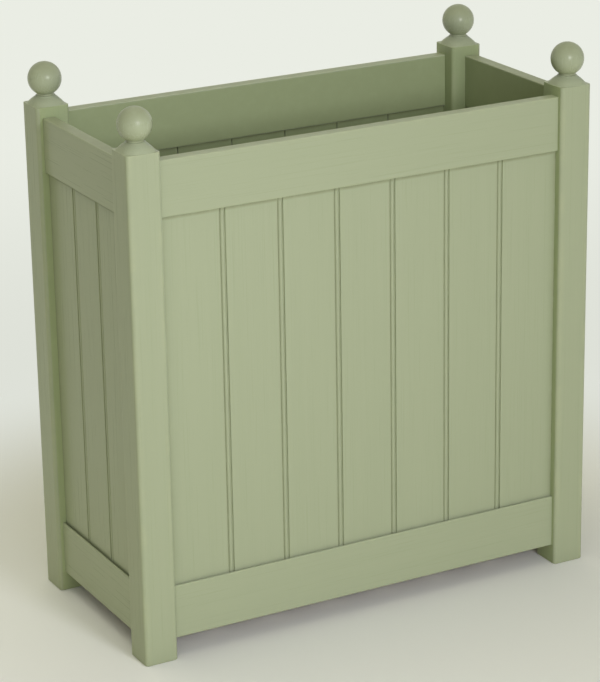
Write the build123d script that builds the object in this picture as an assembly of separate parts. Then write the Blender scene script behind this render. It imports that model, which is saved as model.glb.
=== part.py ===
from build123d import *
import os
from math import atan2, degrees, sqrt
from typing import NamedTuple

# Tall trough planter in painted timber. Four square posts with ball finials carry top and bottom
# rails on stub tenons, beaded tongue-and-groove boards stand in grooves between the rails, and a
# loose slatted floor rests on bearers inside. Millimetres, +X to the right, front at -Y, +Z up,
# origin on the ground midway between the feet.

# Sizes of the whole
planter_width = 700.0
planter_depth = 330.0
foot_height = 28.0
panel_opening = 512.0

# Posts
post_section = 48.0
post_arris = 5.0
post_rise = 14.0
shoulder_rise = 11.5
shoulder_ledge = 0.8
shoulder_diameter = 53.0
collar_diameter = 25.0
foot_chamfer = 1.5

# Ball finials and the dowels that hold them
ball_diameter = 46.0
neck_diameter = 23.0
neck_height = 2.5
dowel_diameter = 12.0
dowel_above_tenon = 8.0
dowel_slack = 1.0

# Rails and their tenons
rail_height = 76.0
rail_setback = 8.5
rail_arris = 1.5
back_lip = 4.0
tenon_thickness = 9.0
tenon_shoulder = 10.0
tenon_slack = 2.0
mortise_web = 2.0

# Boards: face set behind the rails, tongue and groove, one bead beside each joint
front_board_count = 7
side_board_count = 3
board_thickness = 9.0
board_recess = 5.0
board_entry = 8.0
board_slack = 2.0
board_arris = 0.8
shadow_gap = 2.5
end_board_extra = 5.5
tongue_thickness = 3.0
tongue_length = 6.5
tongue_clearance = 0.2
tongue_slack = 0.5
quirk_width = 1.5

# Floor: bearers on the bottom rails, loose grid of slats on two battens
bearer_width = 20.0
bearer_height = 25.0
bearer_lift = 6.0
bearer_clearance = 1.0
floor_clearance = 3.0
slat_count = 7
slat_gap = 12.0
slat_thickness = 16.0
slat_arris = 2.0
batten_width = 38.0
batten_thickness = 16.0

# Countersunk screws with a cross recess
screw_shank = 4.0
screw_head = 8.0
screw_point = 3.0
screw_cover = 5.0
recess_span = 4.4
recess_width = 1.1
recess_depth = 1.6
screw_inset = 40.0
front_bearer_screws = 4
side_bearer_screws = 2

# Heights worked out from the sizes
bottom_rail_base = foot_height
bottom_rail_top = bottom_rail_base + rail_height
top_rail_base = bottom_rail_top + panel_opening
top_rail_top = top_rail_base + rail_height
post_top = top_rail_top + post_rise
shoulder_top = post_top + shoulder_rise

# Tenons keep clear of the grooved edge, and the two mortises in a post leave a web between them
groove_depth = board_entry + board_slack
rail_thickness = board_recess + board_thickness + back_lip
tenon_height = rail_height - groove_depth - tenon_shoulder
bottom_tenon_base = bottom_rail_base + tenon_shoulder
bottom_tenon_top = bottom_tenon_base + tenon_height
top_tenon_base = top_rail_base + groove_depth
top_tenon_top = top_tenon_base + tenon_height
tenon_axis = rail_setback + rail_thickness / 2
mortise_depth = post_section - tenon_axis - tenon_thickness / 2 - mortise_web
tenon_length = mortise_depth - tenon_slack

# Finial and dowel
ball_radius = ball_diameter / 2
neck_radius = neck_diameter / 2
neck_top = shoulder_top + neck_height
ball_centre = neck_top + sqrt(ball_radius**2 - neck_radius**2)
dowel_radius = dowel_diameter / 2
dowel_base = top_tenon_top + dowel_above_tenon

# Boards
board_setback = rail_setback + board_recess
bead_radius = (board_thickness - tongue_thickness) / 2
bead_width = 2 * bead_radius
board_base = bottom_rail_top - board_entry
board_top = top_rail_base + board_entry

# Floor
rail_inside = rail_setback + rail_thickness
bearer_base = bottom_rail_base + bearer_lift
bearer_top = bearer_base + bearer_height
floor_length = planter_width - 2 * post_section - 2 * floor_clearance
floor_depth = planter_depth - 2 * rail_inside - 2 * floor_clearance
slat_width = (floor_length - (slat_count - 1) * slat_gap) / slat_count
slat_pitch = slat_width + slat_gap
batten_length = planter_width - 2 * (rail_inside + bearer_width + floor_clearance)
batten_offset = floor_depth / 4


class Wall(NamedTuple):
    """One side of the planter: its turn from the front, half its width, its distance out, its boards."""

    name: str
    turn: float
    half_width: float
    reach: float
    board_count: int
    screw_count: int

    @property
    def half_span(self):
        """Half the gap between this side's two posts."""
        return self.half_width - post_section

    def depth(self, inward):
        """Y of a plane lying this far behind the post faces, on a wall facing the front."""
        return inward - self.reach

    def place(self, shape):
        """Turn a shape made facing the front to this side."""
        return Rot(0, 0, self.turn) * shape


half_w = planter_width / 2
half_d = planter_depth / 2
WALLS = [
    Wall("front", 0, half_w, half_d, front_board_count, front_bearer_screws),
    Wall("rear", 180, half_w, half_d, front_board_count, front_bearer_screws),
    Wall("left", -90, half_d, half_w, side_board_count, side_bearer_screws),
    Wall("right", 90, half_d, half_w, side_board_count, side_bearer_screws),
]

# Place of each corner's post, turned so that its outer corner faces outwards
post_x = half_w - post_section / 2
post_y = half_d - post_section / 2
CORNERS = {
    "front_left": Pos(-post_x, -post_y, 0),
    "front_right": Pos(post_x, -post_y, 0) * Rot(0, 0, 90),
    "rear_right": Pos(post_x, post_y, 0) * Rot(0, 0, 180),
    "rear_left": Pos(-post_x, post_y, 0) * Rot(0, 0, 270),
}


def block(x, y, z):
    """Box between two corners, given as a low and a high value on each axis."""
    middle = [(low + high) / 2 for low, high in (x, y, z)]
    size = [high - low for low, high in (x, y, z)]
    return Pos(*middle) * Box(*size)


def turned(*outline):
    """Solid turned about Z from lines that give radius and height."""
    return revolve(Plane.XZ * make_face(list(outline)), Axis.Z)


def cylinder(radius, base, top):
    """Upright cylinder on the Z axis between two heights."""
    return Pos(0, 0, (base + top) / 2) * Cylinder(radius, top - base)


def screw(length, recessed=True):
    """Countersunk screw pointing down from its head at the origin; without its recess it is a hole."""
    head, shank = screw_head / 2, screw_shank / 2
    sink = head - shank
    body = turned(
        Polyline(
            (0, 0),
            (head, 0),
            (shank, -sink),
            (shank, screw_point - length),
            (0, -length),
            (0, 0),
        )
    )
    if not recessed:
        return body
    slot = Box(recess_span, recess_width, 2 * recess_depth)
    return body - slot - Rot(0, 0, 90) * slot


def post_shoulder():
    """Shoulder that carries the square post up to its round collar: a pyramid with its hips turned off."""
    collar = collar_diameter / 2
    foot = post_section / 2 - shoulder_ledge
    slope = degrees(atan2(foot - collar, shoulder_rise))
    pyramid = extrude(Rectangle(2 * foot, 2 * foot), shoulder_rise, taper=slope)
    cone = Pos(0, 0, shoulder_rise / 2) * Cone(shoulder_diameter / 2, collar, shoulder_rise)
    return Pos(0, 0, post_top) * (pyramid & cone)


def corner_post():
    """Post on its own axis, with its outer corner towards -X -Y."""
    half = post_section / 2
    post = extrude(RectangleRounded(post_section, post_section, post_arris), post_top)
    post = chamfer(post.faces().sort_by(Axis.Z)[0].edges(), foot_chamfer)
    post += post_shoulder()
    mortise_end = half - mortise_depth
    tenon_low = tenon_axis - tenon_thickness / 2 - half
    tenon_across = (tenon_low, tenon_low + tenon_thickness)
    board_across = (board_setback - half, board_setback + board_thickness - half)
    inward = (half - groove_depth, half)
    for base, top in ((bottom_tenon_base, bottom_tenon_top), (top_tenon_base, top_tenon_top)):
        post -= block((mortise_end, half), tenon_across, (base, top))
        post -= block(tenon_across, (mortise_end, half), (base, top))
    post -= block(inward, board_across, (bottom_tenon_top, top_tenon_base))
    post -= block(board_across, inward, (bottom_tenon_top, top_tenon_base))
    return post - cylinder(dowel_radius, dowel_base - dowel_slack, shoulder_top)


def ball_finial():
    """Ball and neck turned in one, bored from below for its dowel, on the post's axis."""
    bore_top = ball_centre + dowel_slack
    ball_top = ball_centre + ball_radius
    return turned(
        Polyline((dowel_radius, shoulder_top), (neck_radius, shoulder_top), (neck_radius, neck_top)),
        ThreePointArc((neck_radius, neck_top), (ball_radius, ball_centre), (0, ball_top)),
        Polyline(
            (0, ball_top),
            (0, bore_top),
            (dowel_radius, bore_top),
            (dowel_radius, shoulder_top),
        ),
    )


def rail(wall, base, groove, tenon):
    """Rail between two posts, with a groove and two tenons, each given as a low and a high height."""
    face = wall.depth(rail_setback)
    section = Plane.YZ * RectangleRounded(rail_thickness, rail_height, rail_arris)
    bar = extrude(section, wall.half_span, both=True)
    bar = Pos(0, face + rail_thickness / 2, base + rail_height / 2) * bar
    groove_front = wall.depth(board_setback - shadow_gap)
    groove_back = wall.depth(board_setback + board_thickness)
    bar -= block((-wall.half_span, wall.half_span), (groove_front, groove_back), groove)
    tenon_front = wall.depth(tenon_axis - tenon_thickness / 2)
    end = wall.half_span + tenon_length
    across = (tenon_front, tenon_front + tenon_thickness)
    for span in ((-end, -wall.half_span), (wall.half_span, end)):
        bar += block(span, across, tenon)
    return bar


def board(wall, left, right, grooved, tongued):
    """Board standing between the rails, from its left to its right edge as seen from outside.

    The face lies along v = 0 and the back along v = board_thickness. A tongued board carries a
    half-round bead and its quirk beside the tongue.
    """
    back = board_thickness
    tongue = (bead_radius, bead_radius + tongue_thickness)
    if tongued:
        quirk = right - bead_width - quirk_width
        edge = [
            Polyline(
                (left + board_arris, 0),
                (quirk, 0),
                (quirk, bead_radius),
                (quirk + quirk_width, bead_radius),
            ),
            ThreePointArc(
                (right - bead_width, bead_radius), (right - bead_radius, 0), (right, bead_radius)
            ),
            Polyline(
                (right, tongue[0]),
                (right + tongue_length, tongue[0]),
                (right + tongue_length, tongue[1]),
                (right, tongue[1]),
                (right, back),
            ),
        ]
    else:
        edge = [Polyline((left + board_arris, 0), (right, 0), (right, back))]
    closing = [(right, back), (left, back)]
    if grooved:
        deep = left + tongue_length - quirk_width + tongue_slack
        low, high = tongue[0] - tongue_clearance, tongue[1] + tongue_clearance
        closing += [(left, high), (deep, high), (deep, low), (left, low)]
    closing += [(left, board_arris), (left + board_arris, 0)]
    outline = make_face(edge + [Polyline(*closing)])
    stave = extrude(outline, board_top - board_base)
    return Pos(0, wall.depth(board_setback), board_base) * stave


def wall_boards(wall):
    """The boards of one side, left to right as seen from outside."""
    count = wall.board_count
    pitch = 2 * (wall.half_span - end_board_extra) / count
    outer = wall.half_span + board_entry
    boards = []
    for index in range(count):
        bead = end_board_extra - wall.half_span + pitch * index
        left = bead + bead_radius + quirk_width if index else -outer
        last = index == count - 1
        right = outer if last else bead + pitch + bead_radius
        boards.append(board(wall, left, right, grooved=index > 0, tongued=not last))
    return boards


def bearer_screw_places(wall):
    """Places of one bearer's screws, heads on its inner face and points into the rail."""
    reach = wall.half_span - screw_inset
    step = 2 * reach / (wall.screw_count - 1)
    height = bearer_base + bearer_height / 2
    inner = wall.depth(rail_inside + bearer_width)
    return [Pos(step * i - reach, inner, height) * Rot(-90, 0, 0) for i in range(wall.screw_count)]


def floor_bearer(wall):
    """Bearer along the inside of a bottom rail, between the posts."""
    half = wall.half_span - bearer_clearance
    inside = wall.depth(rail_inside)
    return block((-half, half), (inside, inside + bearer_width), (bearer_base, bearer_top))


def slat_centres():
    """X of each floor slat, left to right."""
    first = -slat_pitch * (slat_count - 1) / 2
    return [first + slat_pitch * index for index in range(slat_count)]


def floor_slat():
    """Slat laid front to back, with eased upper edges, on the middle of the floor."""
    slat = block(
        (-slat_width / 2, slat_width / 2),
        (-floor_depth / 2, floor_depth / 2),
        (bearer_top, bearer_top + slat_thickness),
    )
    return fillet(slat.faces().sort_by(Axis.Z)[-1].edges(), slat_arris)


def floor_batten():
    """Batten under the slats, on the middle of the floor."""
    return block(
        (-batten_length / 2, batten_length / 2),
        (-batten_width / 2, batten_width / 2),
        (bearer_top - batten_thickness, bearer_top),
    )


def frame_nodes():
    """Posts, finials and dowels at the four corners."""
    post, finial = corner_post(), ball_finial()
    dowel = cylinder(dowel_radius, dowel_base, ball_centre)
    nodes, dowels = {}, []
    for corner, place in CORNERS.items():
        nodes[f"post_{corner}"] = place * post
        nodes[f"finial_{corner}"] = place * finial
        dowels.append(place * dowel)
    nodes["finial_dowels"] = Compound(dowels)
    return nodes


def wall_nodes():
    """Rails, boards and bearers of the four sides, and the bearers' screws."""
    nodes, screws = {}, []
    length = bearer_width + rail_thickness - screw_cover
    fastener, hole = screw(length), screw(length, recessed=False)
    for wall in WALLS:
        top_rail = rail(
            wall,
            top_rail_base,
            groove=(top_rail_base, top_rail_base + groove_depth),
            tenon=(top_tenon_base, top_tenon_top),
        )
        bottom_rail = rail(
            wall,
            bottom_rail_base,
            groove=(bottom_rail_top - groove_depth, bottom_rail_top),
            tenon=(bottom_tenon_base, bottom_tenon_top),
        )
        bearer = floor_bearer(wall)
        for place in bearer_screw_places(wall):
            bottom_rail -= place * hole
            bearer -= place * hole
            screws.append(wall.place(place * fastener))
        nodes[f"top_rail_{wall.name}"] = wall.place(top_rail)
        nodes[f"bottom_rail_{wall.name}"] = wall.place(bottom_rail)
        nodes[f"floor_bearer_{wall.name}"] = wall.place(bearer)
        for number, stave in enumerate(wall_boards(wall), start=1):
            nodes[f"{wall.name}_board_{number}"] = wall.place(stave)
    nodes["bearer_screws"] = Compound(screws)
    return nodes


def floor_nodes():
    """Loose floor grid: slats, two battens and the screws at their crossings."""
    nodes, screws = {}, []
    length = slat_thickness + batten_thickness - screw_cover
    fastener, hole = screw(length), screw(length, recessed=False)
    head = bearer_top + slat_thickness
    battens = {"front": -batten_offset, "rear": batten_offset}
    for name, offset in battens.items():
        batten = Pos(0, offset, 0) * floor_batten()
        for centre in slat_centres():
            place = Pos(centre, offset, head)
            batten -= place * hole
            screws.append(place * fastener)
        nodes[f"floor_batten_{name}"] = batten
    for number, centre in enumerate(slat_centres(), start=1):
        slat = floor_slat()
        for offset in battens.values():
            slat -= Pos(0, offset, head) * hole
        nodes[f"floor_slat_{number}"] = Pos(centre, 0, 0) * slat
    nodes["floor_screws"] = Compound(screws)
    return nodes


os.makedirs("parts", exist_ok=True)
for node, shape in {**frame_nodes(), **wall_nodes(), **floor_nodes()}.items():
    export_step(shape, f"parts/{node}.step")
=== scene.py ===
"""Looks of a tall trough planter in painted timber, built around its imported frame.

Everything is in metres in the frame's own axes: +X to the right, the front at -Y, +Z up, and the
ground at zero. Posts, ball finials, rails and beaded boards are new surfaces that stand for their
solids. The loose floor, its bearers and the fixings keep their solids and get a finish.
"""
import logging
from abc import ABC, abstractmethod
from dataclasses import dataclass, field
from enum import Enum
from math import asin, cos, degrees, pi, radians, sin, sqrt, tau
from typing import Any, Callable, Iterator

import bpy
import numpy as np
from mathutils import Matrix, Vector


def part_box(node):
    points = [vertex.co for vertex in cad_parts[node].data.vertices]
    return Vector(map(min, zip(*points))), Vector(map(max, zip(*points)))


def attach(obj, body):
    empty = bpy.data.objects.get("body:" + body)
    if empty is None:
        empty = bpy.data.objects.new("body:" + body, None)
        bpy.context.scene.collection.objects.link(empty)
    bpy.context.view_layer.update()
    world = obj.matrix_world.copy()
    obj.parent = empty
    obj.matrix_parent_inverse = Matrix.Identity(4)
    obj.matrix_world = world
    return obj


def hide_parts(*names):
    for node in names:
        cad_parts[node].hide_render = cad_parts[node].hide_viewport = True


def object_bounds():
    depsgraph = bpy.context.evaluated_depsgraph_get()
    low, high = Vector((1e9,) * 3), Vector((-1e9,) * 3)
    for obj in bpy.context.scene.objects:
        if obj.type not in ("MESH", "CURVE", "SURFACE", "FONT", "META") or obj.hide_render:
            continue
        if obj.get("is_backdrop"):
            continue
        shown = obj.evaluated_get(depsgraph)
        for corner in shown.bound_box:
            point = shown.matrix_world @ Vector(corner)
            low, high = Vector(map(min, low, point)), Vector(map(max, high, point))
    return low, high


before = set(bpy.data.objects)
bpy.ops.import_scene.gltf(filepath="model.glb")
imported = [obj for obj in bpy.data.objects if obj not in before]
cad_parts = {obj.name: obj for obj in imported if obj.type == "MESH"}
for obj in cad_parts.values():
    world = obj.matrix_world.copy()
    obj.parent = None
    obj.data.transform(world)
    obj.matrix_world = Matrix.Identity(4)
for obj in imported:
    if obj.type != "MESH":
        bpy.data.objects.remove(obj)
CAD_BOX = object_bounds()

MM = 0.001
# Distance of a support point from an edge, and the most that it takes of a short run
SUPPORT = 0.8 * MM
MOST_SUPPORT = 0.25
# Points of a section that are closer than this are one point
DOUBLED = 0.001 * MM
# Edges that turn by more than this are shaded sharp
SHARP_ANGLE = radians(38)
# Numbers of a side's pieces in the log, and of the first of its boards among them
PER_SIDE = 100
BOARDS_FROM = 10
PLANTER_BODY = "planter"
log = logging.getLogger("planter")

Array = np.ndarray
Point = tuple[float, float]
Triple = tuple[float, float, float]
Colour = Triple
Pieces = Iterator[tuple[bpy.types.Object, str]]
Place = Callable[[Array, Array, Array], Array]


class Side(Enum):
    """The planter's four sides, each with the turn that carries the front to it."""

    FRONT = 0.0
    RIGHT = pi / 2
    REAR = pi
    LEFT = -pi / 2

    @property
    def word(self) -> str:
        """The side's name as the frame writes it."""
        return self.name.lower()


class Corner(Enum):
    """The planter's four corners, as the frame writes them."""

    FRONT_LEFT = "front_left"
    FRONT_RIGHT = "front_right"
    REAR_LEFT = "rear_left"
    REAR_RIGHT = "rear_right"


class GrainAxis(Enum):
    """Which way the grain of a solid runs, with the turn that brings it to Z."""

    X = (0.0, -pi / 2, 0.0)
    Y = (pi / 2, 0.0, 0.0)
    Z = (0.0, 0.0, 0.0)


# Cross-sections, as rows of across, inward, arris mark, crevice mark and inside mark; the last two are
# painted shade and the painted green of light bounced inside the trough


def straight(start: Point, end: Point, crevice: float = 0.0, inside_bounce: float = 0.0) -> Array:
    """Run of a cross-section in a straight line, with a support point close to each end.

    Args:
        start: First point.
        end: Last point.
        crevice: How much painted shade the run takes, 0 to 1.
        inside_bounce: How much the run takes the painted green of light bounced between the inside faces, 0
            to 1.

    Returns:
        Rows of the two coordinates and the three marks.
    """
    first, last = np.array(start), np.array(end)
    length = float(np.linalg.norm(last - first))
    near = min(SUPPORT / length, MOST_SUPPORT)
    steps = np.array([0.0, near, 1.0 - near, 1.0])[:, None]
    points = first + (last - first) * steps
    marks = np.tile((0.0, crevice, inside_bounce), (len(points), 1))
    return np.hstack((points, marks))


def rounded(
    centre: Point,
    radius: float,
    first: float,
    last: float,
    steps: int = 6,
    crevice: float = 0.0,
    arris: float = 1.0,
) -> Array:
    """Run of a cross-section along an arc: centre plus radius times cosine and sine of the angle.

    Args:
        centre: Centre of the arc.
        radius: Radius of the arc.
        first: Angle at the start, in degrees.
        last: Angle at the end, in degrees.
        steps: Straight steps that the arc is divided into.
        crevice: How much painted shade the run takes, 0 to 1.
        arris: How much the run belongs to a rounded edge, 0 to 1.

    Returns:
        Rows of the two coordinates and the three marks.
    """
    angle = np.radians(np.linspace(first, last, steps + 1))
    points = np.array(centre) + radius * np.stack((np.cos(angle), np.sin(angle)), 1)
    marks = np.tile((arris, crevice, 0.0), (len(points), 1))
    return np.hstack((points, marks))


def closed(*runs: Array) -> Array:
    """Joins runs end to end into a closed cross-section without doubled points.

    Args:
        runs: Runs in order round the section.

    Returns:
        Rows of the two coordinates and the three marks.
    """
    rows = np.concatenate(runs)
    step = np.linalg.norm(np.roll(rows, -1, 0)[:, :2] - rows[:, :2], axis=1)
    return rows[step > DOUBLED]


def crowded(low: float, high: float, rows: int) -> Array:
    """Stations between two ends that crowd towards both: the middle less half the span times a cosine.

    Args:
        low: First station.
        high: Last station.
        rows: Number of stations.

    Returns:
        The stations in order.
    """
    turn = np.linspace(0.0, pi, rows)
    return (low + high) / 2 - (high - low) / 2 * np.cos(turn)


@dataclass
class Skin:
    """Closed surface on a grid, with rows along the piece and columns round it.

    Attributes:
        points: Place of each grid point, rows by columns by 3.
        grain: Where each point lies in its own length of timber, grain along the third axis.
        arris: How much each point belongs to a rounded edge, 0 to 1.
        crevice: How much each point is darkened, 0 to 1: painted shade in crevices, by rails and posts, on
            inside faces and on the balls, and dirt at the posts' feet.
        inside_bounce: How much each point takes the painted green of light bounced between the inside faces,
            0 to 1.
        pole: Whether the last row closes on a single point instead of a flat face.
    """

    points: Array
    grain: Array
    arris: Array
    crevice: Array
    inside_bounce: Array
    pole: bool = False

    def _outward(self, quads: Array) -> bool:
        """Tells whether quads face away from the middle: the sum of place dot normal is positive.

        Args:
            quads: Four point numbers of each quad.

        Returns:
            Whether they face outwards.
        """
        flat = self.points.reshape(-1, 3)
        flat = flat - flat.mean(0)
        a, b, c, d = (flat[quads[:, k]] for k in range(4))
        normal = np.cross(c - a, d - b)
        return float((normal * (a + b + c + d)).sum()) > 0

    def faces(self) -> list[list[int]]:
        """Joins the rows with quads and closes both ends, all facing outwards.

        Returns:
            Point numbers of each face.
        """
        rows, columns = self.points.shape[:2]
        index = np.arange(rows * columns).reshape(rows, columns)
        near, far = index[:-1], index[1:]
        quads = np.stack((near, np.roll(near, -1, 1), np.roll(far, -1, 1), far), -1).reshape(-1, 4)
        faces = quads.tolist()
        faces.append(index[0, ::-1].tolist())
        if self.pole:
            tip = np.full(columns, rows * columns)
            faces += np.stack((index[-1], np.roll(index[-1], -1), tip), 1).tolist()
        else:
            faces.append(index[-1].tolist())
        if self._outward(quads):
            return faces
        return [face[::-1] for face in faces]

    def _with_pole(self, values: Array) -> Array:
        """Flattens a grid's values, and adds the mean of its last row for the pole.

        Args:
            values: A number or a vector for each grid point.

        Returns:
            One row for each point of the mesh.
        """
        width = values.shape[2] if values.ndim == 3 else 1
        flat = values.reshape(-1, width)
        if not self.pole:
            return flat
        return np.vstack((flat, values[-1].reshape(-1, width).mean(0)))

    def to_object(self, name: str) -> bpy.types.Object:
        """Makes the mesh object, smooth shaded but for its sharp edges.

        Args:
            name: Name of the object and its mesh.

        Returns:
            The new object, linked to the scene at the origin.
        """
        mesh = bpy.data.meshes.new(name)
        mesh.from_pydata(self._with_pole(self.points).tolist(), [], self.faces())
        mesh.polygons.foreach_set("use_smooth", np.ones(len(mesh.polygons), bool))
        mesh.set_sharp_from_angle(angle=SHARP_ANGLE)
        grain = mesh.attributes.new("grain", "FLOAT_VECTOR", "POINT")
        grain.data.foreach_set("vector", self._with_pole(self.grain).astype(np.float32).ravel())
        marks = {"arris": self.arris, "crevice": self.crevice, "inside_bounce": self.inside_bounce}
        for word, values in marks.items():
            mark = mesh.attributes.new(word, "FLOAT", "POINT")
            mark.data.foreach_set("value", self._with_pole(values).astype(np.float32).ravel())
        mesh.update()
        piece = bpy.data.objects.new(name, mesh)
        bpy.context.scene.collection.objects.link(piece)
        return piece


def timber_offset(number: int) -> Array:
    """Where in the log a piece was cut: steps of the golden ratio and its kin, within 60 mm across.

    Args:
        number: Number of the piece, which gives each its own place.

    Returns:
        Offset to add to the piece's grain coordinates.
    """
    ratios = np.array((0.6180340, 0.7548777, 0.8191725))
    spread = np.array((0.06, 0.06, 4.0))
    return (number * ratios % 1.0 - 0.5) * spread


def upright(node: str, reach: Array, angles: Array, heights: Array) -> tuple[Array, Array]:
    """Points round an upright axis: reach times cosine and sine of the angle, at each row's height.

    Args:
        node: Solid on whose middle the axis stands.
        reach: Distance from the axis, rows by columns or rows by one.
        angles: Angles of the columns.
        heights: Heights of the rows.

    Returns:
        The points about the axis, and the foot of the axis in the frame.
    """
    x, y = reach * np.cos(angles), reach * np.sin(angles)
    z = np.broadcast_to(heights[:, None], x.shape)
    low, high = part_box(node)
    foot = np.array(((low.x + high.x) / 2, (low.y + high.y) / 2, 0.0))
    return np.stack((x, y, z), -1), foot


def carried(section: Array, stations: Array, place: Place, number: int, station_shade: Array) -> Skin:
    """Carries a closed cross-section along a straight path: place of across, inward and station.

    Args:
        section: Closed cross-section.
        stations: Distances along the path.
        place: Puts across, inward and station into the frame.
        number: Number of the piece, for its place in the log.
        station_shade: Painted shade that each station adds to the crevice mark.

    Returns:
        The surface of the piece.
    """
    across, inward, along = np.broadcast_arrays(section[None, :, 0], section[None, :, 1], stations[:, None])
    grain = np.stack((across, inward, along), -1) + timber_offset(number)
    arris = np.broadcast_to(section[:, 2], across.shape)
    crevice = np.maximum(section[None, :, 3], station_shade[:, None])
    inside_bounce = np.broadcast_to(section[:, 4], across.shape)
    return Skin(place(across, inward, along), grain, arris, crevice, inside_bounce)


# Shader nodes


@dataclass
class Bench:
    """Short words for placing and joining nodes in one tree."""

    tree: bpy.types.NodeTree

    def node(self, kind: str, inputs: dict[Any, Any] | None = None, **settings: Any) -> bpy.types.Node:
        """Adds a node.

        Args:
            kind: Type of the node.
            inputs: Values or sockets for its inputs, by name or number.
            settings: Properties of the node.

        Returns:
            The new node.
        """
        made = self.tree.nodes.new(kind)
        for name, value in settings.items():
            setattr(made, name, value)
        for key, value in (inputs or {}).items():
            self.feed(made.inputs[key], value)
        return made

    def feed(self, socket: bpy.types.NodeSocket, value: Any) -> None:
        """Links a socket to an input, or sets the input's own value.

        Args:
            socket: The input.
            value: A socket to link, or a value to set.
        """
        if isinstance(value, bpy.types.NodeSocket):
            self.tree.links.new(value, socket)
        else:
            socket.default_value = value

    def math(self, operation: str, first: Any, second: Any = 0.0, third: Any = 0.0) -> bpy.types.NodeSocket:
        """Result of a Math node on up to three values."""
        inputs = {0: first, 1: second, 2: third}
        return self.node("ShaderNodeMath", inputs, operation=operation).outputs[0]

    def vector(self, operation: str, *values: Any) -> bpy.types.NodeSocket:
        """Result of a Vector Math node, which is a number for a dot product or a length."""
        made = self.node("ShaderNodeVectorMath", dict(enumerate(values)), operation=operation)
        return made.outputs["Value" if operation in ("DOT_PRODUCT", "LENGTH") else "Vector"]

    def noise(
        self, vector: Any, scale: float | Triple = 1.0, detail: float = 3.0, roughness: float = 0.55
    ) -> bpy.types.NodeSocket:
        """Adds a noise over a vector.

        Args:
            vector: Coordinates.
            scale: One scale, or one for each axis.
            detail: Number of finer layers.
            roughness: Strength of each finer layer.

        Returns:
            The noise's value.
        """
        if isinstance(scale, tuple):
            vector, scale = self.vector("MULTIPLY", vector, scale), 1.0
        inputs = {"Vector": vector, "Scale": scale, "Detail": detail, "Roughness": roughness}
        return self.node("ShaderNodeTexNoise", inputs).outputs[0]

    def mark(self, word: str) -> bpy.types.NodeSocket:
        """Value of one of a piece's marks."""
        return self.node("ShaderNodeAttribute", attribute_name=word).outputs["Fac"]

    def bump(self, height: Any, strength: float, depth: float) -> bpy.types.NodeSocket:
        """Normal of a surface with a small relief."""
        inputs = {"Height": height, "Strength": strength, "Distance": depth}
        return self.node("ShaderNodeBump", inputs).outputs[0]

    def spread(self, value: Any, low: float, high: float, to_low: float = 0.0, to_high: float = 1.0) -> Any:
        """A value smoothly stretched from one range to another and held at its ends."""
        inputs = {"Value": value, "From Min": low, "From Max": high, "To Min": to_low, "To Max": to_high}
        return self.node("ShaderNodeMapRange", inputs, interpolation_type="SMOOTHSTEP").outputs[0]

    def blended(self, factor: Any, first: Any, second: Any) -> bpy.types.NodeSocket:
        """Two colours mixed by a factor."""
        inputs = {"Factor": factor, 6: first, 7: second}
        return self.node("ShaderNodeMix", inputs, data_type="RGBA").outputs[2]

    def mixed(self, factor: Any, first: bpy.types.Node, second: bpy.types.Node) -> bpy.types.NodeSocket:
        """Two shaders mixed by a factor."""
        inputs = {0: factor, 1: first.outputs[0], 2: second.outputs[0]}
        return self.node("ShaderNodeMixShader", inputs).outputs[0]

    def placed(self, group: bpy.types.NodeTree, **inputs: Any) -> Any:
        """Outputs of a node group that is placed with its inputs given by name."""
        return self.node("ShaderNodeGroup", inputs, node_tree=group).outputs


def rgba(colour: Colour) -> tuple[float, float, float, float]:
    """A colour with full alpha."""
    return (*colour, 1.0)


def new_material(name: str) -> tuple[bpy.types.Material, Bench, bpy.types.Node]:
    """Starts a material.

    Args:
        name: Name of the material.

    Returns:
        The material, the bench of its nodes and its shader.
    """
    made = bpy.data.materials.new(name)
    made.use_nodes = True
    return made, Bench(made.node_tree), made.node_tree.nodes["Principled BSDF"]


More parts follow.
